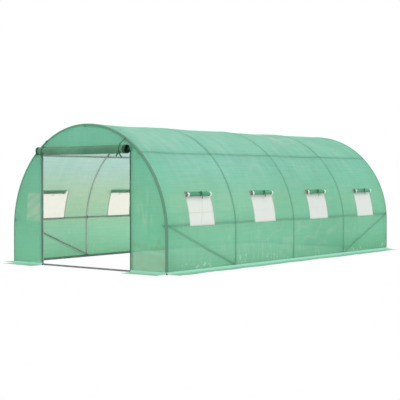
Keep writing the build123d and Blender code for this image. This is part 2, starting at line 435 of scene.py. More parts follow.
WEAVE_PITCH = 0.010
HEIGHTS = (0.05, 0.40, 0.95, 1.45, 1.75)  # where the greens are given: foot, wall, window, shoulder and roof, changing as painted light and shade
TUBE_SHADE_HALF = 0.7 * RAIL  # half width of the painted shade line where a tube lies under the cloth
# Colours painted on the green cloth, and of the light through it there: painted highlights, glints and fold shade,
# painted pale light, an olive tint and the painted shade of tubes under it
CRINKLE_HIGHLIGHT, FOLD_HIGHLIGHT, SHADED, FOLD_GLINT = paint(206, 236, 204), paint(164, 234, 200), paint(48, 184, 134), paint(226, 240, 214)
PALE_MARK, PALE_MARK_THROUGH = paint(216, 238, 214), paint(226, 232, 208)
OLIVE_TINT, OLIVE_TINT_THROUGH = paint(150, 198, 160), paint(166, 186, 138)
PAINTED_TUBE_SHADE, PAINTED_TUBE_SHADE_THROUGH = paint(92, 128, 104), paint(104, 138, 108)


def threads(add, sides, pitch, low, high):
    """Warp and weft a pitch apart: 1 along a thread, 0 between threads."""
    lines = []
    for side in ("X", "Y"):
        wave = add("Math", {"operation": "SINE"}, _0=times(add, sides.outputs[side], 2 * math.pi / pitch)).outputs[0]
        lines.append(spread(add, wave, low, high))
    return larger(add, *lines)


def strokes(add, flat, turn, scale, detail, roughness=0.5):
    """Noise drawn out into strokes on the flat cloth, turned by an angle."""
    drawn = add("Mapping", Vector=flat, Rotation=(0.0, 0.0, turn), Scale=(*scale, 1.0)).outputs[0]
    return noisy(add, drawn, 1.0, detail, roughness)


def woven_finish(name, pale, deep, through, clear, backlit, across=(), painted_folds=1.0, tube_shadows=(), heights=HEIGHTS):
    """Woven coated cloth. pale and deep are its colours and through the colour of light that comes through it, one for
    each of the heights, where they change as painted light and shade; backlit is the share that does, clear the share
    seen straight through. across are stripes, the tube lines (start, end, strength) painted shade where a tube lies
    close under the cloth, and the fold strength how strongly painted fold highlights, fold shade and glints are laid
    on."""
    finish, add, join, surface = new_finish(name)
    flat = add("UVMap", {"uv_map": "cloth"}).outputs["UV"]
    sides = add("SeparateXYZ", Vector=flat)
    place = add("TexCoord").outputs["Object"]
    height = add("SeparateXYZ", Vector=place).outputs["Z"]
    weave = threads(add, sides, WEAVE_PITCH, 0.2, 1.0)
    streaks = strokes(add, flat, 0.0, (2.0, 36.0), 3.0)
    deep_tone, pale_tone, through_tone = (
        blended(add, height, [(level, paint(*colour)) for level, colour in zip(heights, colours)])
        for colours in (deep, pale, through))
    tone = between(add, spread(add, noisy(add, place, 1.3, 5.0, 0.6), 0.35, 0.65), deep_tone, pale_tone)
    tone = between(add, spread(add, streaks, 0.35, 0.7, 0.0, 0.15), tone, deep_tone)
    tone = between(add, spread(add, weave, 0.0, 1.0, 0.0, 0.10), tone, deep_tone)
    inner = between(add, spread(add, streaks, 0.3, 0.7, 0.0, 0.26), through_tone, deep_tone)
    if across:
        tone = between(add, 0.12, blended(add, sides.outputs["Y"], across), tone)
    if painted_folds:
        # Painted light on crinkles and folds: pale crinkle highlights in patches, highlights and painted shade along
        # slanting folds on the roof, and pale glints in clusters low on the right wall.
        crinkles = spread(add, strokes(add, flat, 0.45, (30.0, 5.0), 2.0), 0.58, 0.66)
        patches = spread(add, noisy(add, place, 1.9, 1.0), 0.48, 0.60, 0.0, 0.5 * painted_folds)
        tone = between(add, times(add, crinkles, patches), tone, CRINKLE_HIGHLIGHT)
        slanting = strokes(add, flat, 0.5, (7.5, 1.6), 4.0, 0.65)
        on_roof = spread(add, height, 1.1, 1.7, 0.25, 1.0)
        for low, high, share, colour in ((0.50, 0.70, 0.8, FOLD_HIGHLIGHT), (0.48, 0.30, 0.7, SHADED)):
            shown = times(add, spread(add, slanting, low, high, 0.0, share * painted_folds), on_roof)
            tone = between(add, shown, tone, colour)
        glints = spread(add, strokes(add, flat, 0.5, (19.0, 15.0), 1.0), 0.59, 0.66)
        clusters = spread(add, noisy(add, place, 2.6, 1.0), 0.46, 0.54, 0.0, painted_folds)
        low_band = times(add, spread(add, height, 0.03, 0.07), spread(add, height, 0.12, 0.20, 1.0, 0.0))
        on_right = spread(add, sides.outputs["Y"], cover_round / 2, cover_round / 2 + 0.1)
        glinting = times(add, times(add, glints, clusters), times(add, low_band, on_right))
        tone = between(add, glinting, tone, FOLD_GLINT)
    # Pale marks painted from the cloth's mark attribute: painted fold highlights and painted light seen through the
    # cloth; below 0 an olive tint.
    mark_level = add("Attribute", {"attribute_name": "crease"}).outputs["Fac"]
    tone = between(add, spread(add, mark_level, 0.0, 1.0, 0.0, 0.9), tone, PALE_MARK)
    inner = between(add, spread(add, mark_level, 0.0, 1.0, 0.0, 0.7), inner, PALE_MARK_THROUGH)
    olive_level = spread(add, mark_level, 0.0, -1.0)
    tone = between(add, olive_level, tone, OLIVE_TINT)
    inner = between(add, olive_level, inner, OLIVE_TINT_THROUGH)
    # Painted shade: a dark line on the cloth, and in the light that comes through it, where each tube lies close under
    # the cloth.
    if tube_shadows:
        sway = add("TexNoise", Vector=flat, Scale=3.0, Detail=2.0).outputs["Color"]
        swayed = add("VectorMath", {"operation": "MULTIPLY_ADD"}, _0=sway, _1=(0.0, 2 * SWAY, 0.0), _2=flat).outputs[0]
    for start, end, strength in tube_shadows:
        dark = times(add, line_mask(add, swayed, start, end, TUBE_SHADE_HALF), strength)
        tone = between(add, dark, tone, PAINTED_TUBE_SHADE)
        inner = between(add, dark, inner, PAINTED_TUBE_SHADE_THROUGH)
    bump = add("Bump", Strength=0.25, Distance=0.0006, Height=weave).outputs["Normal"]
    coated = add("BsdfPrincipled", Base_Color=tone, Roughness=0.5, Specular_IOR_Level=0.35, Normal=bump).outputs[0]
    lit = add("BsdfTranslucent", Color=inner, Normal=bump).outputs[0]
    body = add("MixShader", _0=backlit, _1=coated, _2=lit).outputs[0]
    gaps = add("BsdfTransparent", Color=(1.0, 1.0, 1.0, 1.0)).outputs[0]
    join(add("MixShader", _0=clear, _1=body, _2=gaps).outputs[0], surface)
    return finish


# The cover's greens for each height are lighter or darker to stand in for how the light falls there, painted light and
# shade, and the light that comes through is painted paler towards the top.
pale_green = [(106, 192, 162), (152, 226, 200), (86, 228, 195), (70, 222, 174), (98, 230, 180)]
deep_green = [(94, 178, 146), (128, 206, 180), (72, 212, 176), (54, 206, 156), (80, 213, 162)]
through_green = [(150, 218, 172), (164, 227, 184), (220, 226, 190), (218, 232, 236)]
HOOP_SHADE, PURLIN_SHADE, BRACE_SHADE = 0.20, 0.27, 0.32  # how dark each tube's painted shade line is
tube_lines = [((y, 0.0), (y, cover_round), HOOP_SHADE) for y in hoop_ys[1:4]]
# Each purlin's painted shade line lies a little below the purlin.
for line in purlin_lines:
    under = line + SWAY + math.copysign(0.010, line - cover_round / 2)
    tube_lines.append(((hoop_ys[0], under), (hoop_ys[4], under), PURLIN_SHADE))
for foot, top in ((cover_round - brace_low.z, purlin_lines[3]), (brace_low.z, purlin_lines[4])):
    for end, inner in ((0, 1), (4, 3)):
        tube_lines.append(((hoop_ys[end], top + SWAY), (hoop_ys[inner], foot + SWAY), BRACE_SHADE))
cover_cloth = woven_finish("cover_cloth", pale_green, deep_green, through_green, 0.05, 0.6, tube_shadows=tube_lines)
window_lines = [along_at(z) for z in (sill, head)]
window_lines += [cover_round - line for line in window_lines]
cover_rows = spaced([-cover_end, cover_end] + hoop_ys[1:4] + [y + side * window_half for y in window_ys
                                                              for side in (-1, 1)], 0.028)
cover_columns = spaced([0.0, cover_round, cover_round / 2] + window_lines, 0.03)


def in_window(y, along):
    """True where the cover is cut away for a window, on either wall."""
    beside = min(abs(y - middle) for middle in window_ys)
    right = max(along, cover_round - along)
    return beside < window_half and window_lines[1] < right < window_lines[0]


# Crumples in the cloth, with painted highlights along their folds: y, metres down the right half from the ridge,
# length, width, strength
CRUMPLES = ((0.95, 0.50, 0.42, 0.30, 1.0), (-0.80, 0.28, 0.45, 0.20, 0.6), (-0.55, 1.30, 0.28, 0.26, 0.45),
            (2.30, 0.60, 0.40, 0.30, 0.4), (-2.30, 0.40, 0.40, 0.30, 0.3), (0.3, 2.45, 1.4, 0.22, 0.4))


def crumple_highlights(y, along):
    """How pale the cloth is painted along the sharp little folds of its crumples: painted highlights on folds that the
    mesh doesn't have.
    """
    pale = 0.0
    for middle, down, long, wide, strength in CRUMPLES:
        near = math.exp(-((y - middle) / long) ** 2 - ((along - cover_round / 2 - down) / wide) ** 2)
        fold = 1 - 6 * abs(noise.noise((y * 3.0 + along * 2.2, along * 3.4 - y * 1.4, 3.0 + middle)))
        pale += strength * near * max(0.0, fold)
    return min(1.0, pale)


cover_mesh = sheet_mesh("cover", cover_rows, cover_columns, on_cover, in_window, cover_cloth, True, crumple_highlights)
cover = new_piece("cover", cover_mesh, "cover_cloth", "left_side_cloth", "left_roof_cloth", "right_side_cloth",
                  "right_roof_cloth")


# End cloths: a flat sheet of the same cloth closes each end. The front one has the doorway cut out of it and
# hangs a little loose beside the door; the rear one is whole.
over_low, over_high = box_of("over_door_cloth")
panel_y = abs(over_low.y + over_high.y) / 2
door_half = over_high.x
door_head = over_low.z
panel_radius = cover_radius - hem_corner * 0.6
# The end cloth's greens also change with height as painted light and shade.
end_finish = woven_finish(
    "end_cloth", [(146, 226, 198), (112, 226, 192), (100, 220, 188)], [(132, 210, 184), (94, 210, 174), (82, 206, 172)],
    [(160, 227, 182), (178, 216, 182), (170, 213, 180)], 0.10, 0.6, painted_folds=0.35, heights=HEIGHTS[1:4])
END_SEEDS = {-1: 11.0, 1: 23.0}


def arch_top(x):
    return arch_foot + math.sqrt(max(0.0, panel_radius ** 2 - x * x))


def over_fold(x, z):
    """How far a place is above the fold across the cloth on the right of the door."""
    return z - 0.315 + 0.10 * (x - door_half)


def end_slack(x, z, seed):
    """How far the end cloth stands out from its plane: soft upright folds, calm at the hoop and the ground."""
    from_hoop = panel_radius - (math.hypot(x, z - arch_foot) if z > arch_foot else abs(x))
    calm = min(1.0, max(0.0, from_hoop) / 0.12) * min(1.0, z / 0.1)
    upright = noise.noise((x * 7.0 + z * 1.2, z * 1.6, seed)) * 0.006
    mottled = noise.noise((x * 11.0, z * 13.0, seed + 3)) * 0.0022
    broad = noise.noise((x * 2.2, z * 2.0, seed + 6)) * 0.005
    fold = 0.004 * math.exp(-(over_fold(x, z) / 0.014) ** 2) if x > door_half else 0.0
    from_tube = min(from_hoop, z, abs(abs(x) - post_x), abs(z - header_z) if abs(x) < post_x else 1.0)
    room = 0.0008 + 0.0032 * min(1.0, max(0.0, from_tube - 0.014) / 0.03)
    return max(-room, (upright + mottled + broad + fold) * calm)


def front_cloth_marks(x, z):
    """How pale the front cloth is painted or, below 0, how olive: left of the door a pale patch, painted light where
    the nearest window shows through the cloth; right of it pale streaks above an olive band either side of the fold,
    and the fold a little pale, a painted highlight."""
    if x < 0:
        beside = min(1.0, max(0.0, (x + 1.21 - 0.10 * (z - 0.84)) / 0.02))
        inside = beside * min(1.0, max(0.0, (0.21 - abs(z - 0.84)) / 0.02))
        return inside * (0.60 + 0.55 * noise.noise((x * 5.0 - z * 3.0, z * 17.0 - x * 3.0, 6.0)))
    edge = 0.44 + 0.14 * noise.noise((x * 9.0, 1.5, 0.0)) + 0.06 * noise.noise((x * 26.0, 4.5, 0.0))
    low = min(1.0, max(0.0, (edge + 0.16 * max(0.0, x - 1.2) - z) / 0.06))
    fold = math.exp(-(over_fold(x, z) / 0.018) ** 2)
    pale_streaks = max(0.0, noise.noise((x * 21.0 + z * 2.0, z * 4.0, 3.0)) + 0.05) * 1.5
    pale_streaks *= math.exp(-((x - 1.14) / 0.13) ** 2 - ((z - 0.84) / 0.17) ** 2)
    blotches = 0.75 + 0.7 * noise.noise((x * 9.0, z * 11.0, 8.0))
    return pale_streaks - 0.54 * low * (1.0 - 1.2 * fold) * blotches


def end_cloth(name, end, parts):
    """End cloth of strips between x marks, each from its lower edge to the hoop at shares of the way up."""
    shape = bmesh.new()
    for marks, shares, bottom in parts:
        def point_at(x, share):
            z = bottom + (arch_top(x) - bottom) * share
            return Vector((x, end * (panel_y + end_slack(x, z, END_SEEDS[end])), z))

        def front_mark_at(x, share):
            return front_cloth_marks(x, point_at(x, share).z) if end < 0 and abs(x) >= door_half else 0.0

        strip = sheet_mesh(name, spaced(marks, 0.018), shares, point_at, cloth_marks_at=front_mark_at)
        shape.from_mesh(strip)
        bpy.data.meshes.remove(strip)
    bmesh.ops.remove_doubles(shape, verts=shape.verts, dist=0.0002)
    mesh = bpy.data.meshes.new(name)
    shape.to_mesh(mesh)
    shape.free()
    places = [mesh.vertices[loop.vertex_index].co for loop in mesh.loops]
    mesh.uv_layers["cloth"].uv.foreach_set("vector", [value for spot in places for value in (spot.x, spot.z)])
    if end < 0:
        mesh.flip_normals()
    mesh.materials.append(end_finish)
    mesh.shade_smooth()
    return mesh


door_share = door_head / arch_top(door_half)
side_shares = spaced([0.0, door_share], 0.010) + spaced([door_share, 1.0], 0.014)[1:]
over_shares = [(share - door_share) / (1 - door_share) for share in side_shares if share >= door_share - 1e-9]
end_area = 2 * panel_radius * arch_foot + math.pi * panel_radius ** 2 / 2
for name, end, parts, nodes, area in (
        ("front_end_cloth", -1, [([-panel_radius, -door_half], side_shares, 0.0),
                                 ([-door_half, 0.0, door_half], over_shares, door_head),
                                 ([door_half, panel_radius], side_shares, 0.0)],
         ("left_front_cloth", "right_front_cloth", "over_door_cloth"), end_area - 2 * door_half * door_head),
        ("rear_end_cloth", 1, [([-panel_radius, 0.0, panel_radius], spaced([0.0, 1.0], 0.016), 0.0)],
         ("rear_cloth",), end_area)):
    end_piece = new_piece(name, end_cloth(name, end, parts), "cover_cloth", *nodes)


# Hems: a folded strip of the same cloth, sewn with two dark seams, goes over each end hoop from ground to
# ground and joins the cover to the end cloth. Its middle is painted grey where the hoop shows through, with the tube's
# highlight.
HEM_ON_COVER = 0.016
HEM_ON_END = 0.015
HEM_PROUD = 0.0014
# Across the hem: dark seams with painted shade beside them at its edges, and the painted grey of the hoop in its
# middle.
hem_seam_shade = paint(98, 152, 122)
hem_painted_tube = paint(112, 154, 128)
hem_middle = HEM_ON_COVER + math.pi / 4 * (hem_corner + HEM_PROUD)
hem_stripes = [(0.0, hem_seam_shade), (0.007, hem_seam_shade), (0.012, paint(104, 160, 130)), (hem_middle - 0.008, hem_painted_tube),
               (hem_middle + 0.004, hem_painted_tube), (hem_middle + 0.012, paint(116, 172, 142)), (0.1, hem_seam_shade)]
hem_cloth = woven_finish("hem_cloth", [(116, 172, 142)], [(92, 146, 116)],
                         [(90, 150, 116)], 0.0, 0.15, across=hem_stripes, painted_folds=0.0)


def hem_profile():
    """Radius and y of a hem from its edge on the cover, round the hoop, to its edge on the end cloth."""
    corner_r = cover_radius - hem_corner
    corner_y = panel_y - hem_corner
    edge_y = corner_y - HEM_ON_COVER
    proud = hem_corner + HEM_PROUD
    line = [(cover_radius + 0.0002, edge_y), (cover_radius + HEM_PROUD, edge_y + 0.001)]
    line += [(corner_r + proud * math.cos(math.pi / 12 * i), corner_y + proud * math.sin(math.pi / 12 * i))
             for i in range(7)]
    return line + [(corner_r - HEM_ON_END * 0.5, panel_y + 0.0018), (corner_r - HEM_ON_END + 0.001, panel_y + 0.0016),
                   (corner_r - HEM_ON_END, panel_y + 0.0002)]


hem_line_places = hem_profile()
hem_across = [0.0]
for before, after in zip(hem_line_places, hem_line_places[1:]):
    hem_across.append(hem_across[-1] + math.dist(before, after))
for name, end in (("front_hem", -1), ("rear_hem", 1)):
    def hem_point(along, across):
        radius, y = hem_line_places[hem_across.index(across)]
        spot, out = round_hoop(along)
        ripple = noise.noise((along * 9.0, across * 20.0, end * 5.0)) * 0.0008
        spot = spot - out * (cover_radius - radius)
        return Vector((spot.x, end * (y + ripple), spot.y))

    mesh = sheet_mesh(name, spaced([0.0, cover_round / 2, cover_round], 0.03), hem_across, hem_point, None, hem_cloth,
                      end < 0)
    hem = new_piece(name, mesh, "cover_cloth")


# Window nets: fine white insect net in each window opening. The tunnel comes folded in a box, so creases cross
# the nets, sharpest in the window next to the door.
net_finish, add, join, surface = new_finish("window_net")
flat = add("UVMap", {"uv_map": "cloth"}).outputs["UV"]
sides = add("SeparateXYZ", Vector=flat)
NET_PITCH = 0.0018
mesh_lines = threads(add, sides, NET_PITCH, -0.6, 0.4)
cloudy = noisy(add, add("TexCoord").outputs["Object"], 6.0, 3.0)
crease = add("Attribute", {"attribute_name": "crease"}).outputs["Fac"]
white = between(add, spread(add, cloudy, 0.3, 0.7), paint(255, 255, 255), paint(254, 255, 252))
# Darker along the creases: the net's pressed folds, and painted shade in them.
white = between(add, crease, white, paint(226, 216, 216))
net_body = add("BsdfPrincipled", Base_Color=white, Roughness=0.7, Specular_IOR_Level=0.2).outputs[0]
net_lit = add("BsdfTranslucent", Color=paint(255, 247, 230)).outputs[0]
net_both = add("MixShader", _0=0.3, _1=net_body, _2=net_lit).outputs[0]
holes = add("BsdfTransparent", Color=paint(255, 252, 240)).outputs[0]
from_inside = add("NewGeometry").outputs["Backfacing"]  # daylight shows through the net from the dim side only
open_outside = spread(add, mesh_lines, 0.0, 1.0, 0.06, 0.0)
open_share = larger(add, open_outside, times(add, from_inside, 0.70))
join(add("MixShader", _0=open_share, _1=net_both, _2=holes).outputs[0], surface)


def ribbed_finish(name, first, second, patches, ribs, rough, sheen=0.0, back=None, lit=None):
    """Tape or edging: two colours in patches (scale, detail, and where the first ends and the second starts), under
    fine ribs (scale, detail, strength, depth). back is its back's colour, lit the light that comes through it."""
    finish, add, join, surface = new_finish(name)
    place = add("TexCoord").outputs["Object"]
    tone = between(add, spread(add, noisy(add, place, *patches[:2]), *patches[2:]), first, second)
    if back:
        tone = between(add, add("NewGeometry").outputs["Backfacing"], tone, back)
    scale, detail, strength, depth = ribs
    bump = add("Bump", Strength=strength, Distance=depth, Height=noisy(add, place, scale, detail)).outputs["Normal"]
    body = add("BsdfPrincipled", Base_Color=tone, Roughness=rough, Sheen_Weight=sheen, Normal=bump).outputs[0]
    if lit:
        body = add("MixShader", _0=0.3, _1=body, _2=add("BsdfTranslucent", Color=lit).outputs[0]).outputs[0]
    join(body, surface)
    return finish


binding_finish = ribbed_finish("window_binding", paint(234, 224, 220), paint(218, 208, 204), (40.0, 3.0, 0.3, 0.7),
                               (700.0, 1.0, 0.3, 0.0003), 0.75)
BINDING = 0.014
CREASE = 0.006
NET_STEP = 0.0075
SOFT_EDGE = math.radians(50)
window_height = window_lines[0] - window_lines[1]


def wall_line(side, along):
    """A line of the right-hand wall, or the same one on the left-hand wall."""
    return along if side > 0 else cover_round - along


def edging_mesh(path, width, thick):
    """Narrow strip with rounded edges along a path of (point, outward, sideways) places."""
    profile = [(-0.5, 0.0), (-0.5, 0.6), (-0.42, 1.0), (0.0, 1.12), (0.42, 1.0), (0.5, 0.6), (0.5, 0.0)]
    points, faces = [], []
    for spot, out, across in path:
        points += [spot + across * width * a + out * thick * b for a, b in profile]
    count = len(profile)
    for ring in range(len(path) - 1):
        here, after = ring * count, (ring + 1) * count
        for i in range(count):
            faces.append((here + i, here + (i + 1) % count, after + (i + 1) % count, after + i))
    faces += [tuple(range(count))[::-1], tuple(range((len(path) - 1) * count, len(path) * count))]
    mesh = bpy.data.meshes.new("edging")
    mesh.from_pydata(points, [], faces)
    return mesh


def trim_piece(name, meshes, finish, slot, *nodes):
    """Several closed strips and knots of cloth or tape as one piece."""
    shape = bmesh.new()
    for mesh in meshes:
        shape.from_mesh(mesh)
        bpy.data.meshes.remove(mesh)
    solid_piece(name, shape, finish, slot, *nodes, sharp=SOFT_EDGE)


for side, word in ((1, "right"), (-1, "left")):
    edgings = []
    for index, middle in enumerate(window_ys):
        def cloth_marks_at(y, along):
            across, down = (y - middle) / window_half, (along - window_lines[1]) / window_height
            upright = (across - 0.38 + 0.48 * down) * window_half
            level = (down - 0.60) * window_height
            sharp = (0.75, 0.12, 0.2, 0.1)[index] if side > 0 else 0.08
            return sharp * max(math.exp(-(upright / CREASE) ** 2), math.exp(-(level / CREASE) ** 2))

        def net_point(y, along):
            across, down = (y - middle) / window_half, (along - window_lines[1]) / window_height
            billow = 0.004 * (1 - across * across) * 4 * down * (1 - down)
            return on_cover(y, wall_line(side, along), -0.0012 - 0.0012 * cloth_marks_at(y, along) - billow)

        window_edges = [middle - window_half, middle + window_half]
        name = f"{word}_net_{index + 1}"
        mesh = sheet_mesh(name, spaced(window_edges, NET_STEP), spaced(window_lines[:2], NET_STEP), net_point, None,
                          net_finish, side > 0, cloth_marks_at)
        net = new_piece(name, mesh, "window_net", f"{word}_window_nets")

        half, lines = window_half - BINDING / 2, spaced(window_lines[:2], 0.03)
        sill_run = [(y, window_lines[0] - BINDING / 2) for y in spaced(window_edges, 0.03)]
        for run in (sill_run, [(middle - half, line) for line in lines], [(middle + half, line) for line in lines]):
            path = []
            for y, line in run:
                line = wall_line(side, line)
                out = round_hoop(line)[1]
                across = Vector((-out.y, 0, out.x)) if run is sill_run else Vector((0, 1, 0))
                path.append((on_cover(y, line, 0.0002), Vector((out.x, 0, out.y)), across))
            edgings.append(edging_mesh(path, BINDING, 0.0012))
    trim_piece(f"{word}_window_bindings", edgings, binding_finish, "window_net")


# Window flaps: a piece of cover cloth over each window, rolled up from the bottom, with white hook tape
# sewn along both its side edges, which shows as a band at each end of the roll.
def off_cover(spot, gap):
    """The same place, or the one straight outside it that clears the cover by a gap."""
    turn = math.atan2(spot.z - arch_foot, -spot.x)
    reach = math.hypot(spot.x, spot.z - arch_foot)
    least = cover_radius + gap - sag(spot.y, arch_foot + turn * cover_radius)
    if reach >= least:
        return spot
    return Vector((-math.cos(turn) * least, spot.y, arch_foot + math.sin(turn) * least))


def off_end_cloth(spot, gap):
    return Vector((spot.x, min(spot.y, -panel_y - gap), spot.z))


def roll_mesh(name, centre, axis, length, core, turns, radius_at, kind_at, finishes, clear_of, tail):
    """Cloth rolled up like a map. radius_at(along, turn) gives the outside and the drop, and every layer inside
    follows it. kind_at(along) picks the finish, and tail is how the outer layer leaves at the back."""
    axis, up = Vector(axis), Vector((0, 0, 1))
    back = axis.cross(up)
    half = length / 2
    edge = 0.06
    stations = spaced([-half, edge - half], 0.004) + spaced([edge - half, half - edge], 0.018)[1:]
    stations += spaced([half - edge, half], 0.004)[1:]
    steps = round(turns * 26)
    leaves_at = math.radians(20)
    points, faces, places, kinds = [], [], [], []
    for station in stations:
        ring = []
        for i in range(steps + 1):
            turn = leaves_at + 2 * math.pi * turns * (i / steps - 1)
            radius, drop = radius_at(station, turn)
            reach = radius * (core + (1 - core) * i / steps)
            spot = Vector(centre) + axis * station + back * reach * math.cos(turn)
            ring.append(clear_of(spot + up * (reach * math.sin(turn) - drop), 0.0012))
        for offset in tail:
            ring.append(clear_of(ring[-1] + Vector(offset), 0.0012))
        walked = 0.0
        for i, spot in enumerate(ring):
            walked += (spot - ring[i - 1]).length if i else 0.0
            places.append((station, walked))
        points += ring
    count = steps + 1 + len(tail)
    for row in range(len(stations) - 1):
        for i in range(count - 1):
            here = row * count + i
            faces.append((here, here + count, here + count + 1, here + 1))
            kinds.append(kind_at((stations[row] + stations[row + 1]) / 2) if i < steps else 0)
    mesh = bpy.data.meshes.new(name)
    mesh.from_pydata(points, [], faces)
    mesh.uv_layers.new(name="cloth").uv.foreach_set("vector", [v for face in faces for c in face for v in places[c]])
    for finish in finishes:
        mesh.materials.append(finish)
    mesh.polygons.foreach_set("material_index", kinds)
    mesh.shade_smooth()
    return mesh, places[-1][1]


rolled_cloth = woven_finish("rolled_window_cloth", [(96, 184, 142)], [(70, 156, 114)], [(60, 140, 96)], 0.0, 0.12,
                            painted_folds=0.0)
# The tape's back, which shows in the roll's hollow ends, is a pinkish white made lighter, painted light against the
# shade in the hollow.
hook_tape = ribbed_finish("white_hook_tape", paint(255, 255, 254), paint(228, 220, 218), (60.0, 2.0, 0.45, 0.75),
                          (900.0, 2.0, 0.5, 0.0006), 0.85, sheen=0.2, back=paint(222, 200, 200))

roll_low, roll_high = box_of("right_window_rolls")
window_roll_x = (roll_low.x + roll_high.x) / 2
window_roll_z = (roll_low.z + roll_high.z) / 2
window_roll_length = roll_high.y - roll_low.y - 3 * bay - 0.03
ROLL_MIDDLE = 0.029
ROLL_END = 0.034
HOOK_TAPE = 0.030
ROLL_SHIFT = 0.026
ROLL_IN = 0.002  # the rolls hang this much nearer the cloth than the CAD ones
ROLL_TURNS, ROLL_CORE = 3.7, 0.30
for side, word in ((1, "right"), (-1, "left")):
    for index, middle in enumerate(window_ys):
        seed = index * 3.3 + side

        def window_roll_at(station, turn):
            to_end = (abs(station) - window_roll_length / 2 + HOOK_TAPE) / 0.012
            flare = min(1.0, max(0.0, to_end + 1.0))
            tied = math.exp(-(station / 0.016) ** 2)
            lumps = noise.noise((math.cos(turn) * 1.1, math.sin(turn) * 1.1, station * 6 + seed)) * 0.06
            radius = ROLL_MIDDLE + (ROLL_END - ROLL_MIDDLE) * flare * flare * (3 - 2 * flare)
            return radius * (1 + lumps - 0.16 * tied), 0.002 * noise.noise((station * 4, seed, 0.5))

        centre = (side * (window_roll_x - ROLL_IN), middle - ROLL_SHIFT, window_roll_z)
        name = f"{word}_window_roll_{index + 1}"
        mesh, rolled_length = roll_mesh(
            name, centre, (0, -side, 0), window_roll_length, ROLL_CORE, ROLL_TURNS, window_roll_at,
            lambda station: 1 if abs(station) > window_roll_length / 2 - HOOK_TAPE else 0,
            (rolled_cloth, hook_tape), off_cover, [(-side * 0.006, 0, 0.012), (-side * 0.010, 0, 0.014)])
        roll = new_piece(name, mesh, "rolled_cloth", f"{word}_window_rolls")


# Ties: green polyester tape, sewn to the cloth above each roll, passed round it and knotted in front. The ends
# hang down.
tape_finish = ribbed_finish("tie_tape", paint(24, 92, 54), paint(42, 120, 76), (30.0, 3.0, 0.35, 0.7),
                            (600.0, 2.0, 0.4, 0.0004), 0.6, sheen=0.15)


def tape_path(points, across, out_from=None):
    """Places along a tape: its points, with the tape's face turned away from out_from or square to across."""
    path = []
    for i, spot in enumerate(points):
        along = (points[min(i + 1, len(points) - 1)] - points[max(i - 1, 0)]).normalized()
        width_way = (across - along * across.dot(along)).normalized()
        out = along.cross(width_way)
        if out_from is not None and out.dot(spot - out_from) < 0:
            out = -out
        path.append((spot, out, width_way))
    return path


def curved(points, parts=6):
    """Smooth line through points."""
    line = []
    for i in range(len(points) - 1):
        before, start = points[max(i - 1, 0)], points[i]
        end, after = points[i + 1], points[min(i + 2, len(points) - 1)]
        for j in range(parts):
            t = j / parts
            line.append(0.5 * (2 * start + (end - before) * t + (2 * before - 5 * start + 4 * end - after) * t * t
                               + (3 * start - before - 3 * end + after) * t ** 3))
    return line + [points[-1]]


def tape_run(points, across, width):
    """Tape along a smooth line through points."""
    return edging_mesh(tape_path(curved(points), Vector(across)), width, 0.0012)


def knot_mesh(centre, size, across, width):
    """Half knot pulled tight: a tape that winds over and under itself."""
    points = []
    for i in range(37):
        t = 2 * math.pi * i / 36
        flat = Vector((math.sin(t) + 2 * math.sin(2 * t), -math.sin(3 * t) * 1.1, math.cos(t) - 2 * math.cos(2 * t)))
        points.append(centre + flat * size / 3)
    return edging_mesh(tape_path(points, Vector(across)), width, 0.0011)


TIE_WIDTH = 0.020
RING_WIDTH = TIE_WIDTH + 0.008  # a little wider where it is pulled flat round a window's roll
WINDOW_SNUG = 0.90  # a window's tie pulls its roll in to this share
for side, word in ((1, "right"), (-1, "left")):
    parts = []
    for index, middle in enumerate(window_ys):
        centre = Vector((side * (window_roll_x - ROLL_IN), middle, window_roll_z))
        ring = []
        for i in range(33):
            turn = math.radians(120) - 2 * math.pi * i / 32
            out = Vector((side * math.cos(turn), 0, math.sin(turn)))
            ring.append(off_cover(centre + out * (ROLL_MIDDLE * WINDOW_SNUG + 0.0006), 0.0014))
        parts.append(edging_mesh(tape_path(ring, Vector((0, 1, 0)), centre), RING_WIDTH, 0.0012))
        front = centre + Vector((side * (ROLL_MIDDLE * WINDOW_SNUG + 0.004), 0.002, 0.002))
        parts.append(knot_mesh(front, 0.011, (0, 1, 0), 0.010))
        loop = [(0, 0, 0), (0.006, -0.012, 0.014), (0.002, -0.018, 0.034), (-0.006, -0.006, 0.042),
                (0.004, 0.004, 0.018), (0, 0, 0)]
        hang = [(0, 0, 0), (0.008, 0.006, -0.014), (0.006, 0.012, -0.040), (0.002, 0.010, -0.064)]
        for way, line in (((0.3, 1, 0), loop), ((0.2, 1, 0), hang)):
            parts.append(tape_run([front + Vector((side * x, y, z)) for x, y, z in line], way, 0.010))
    trim_piece(f"{word}_window_tapes", parts, tape_finish, "tie_tape", f"{word}_window_ties")


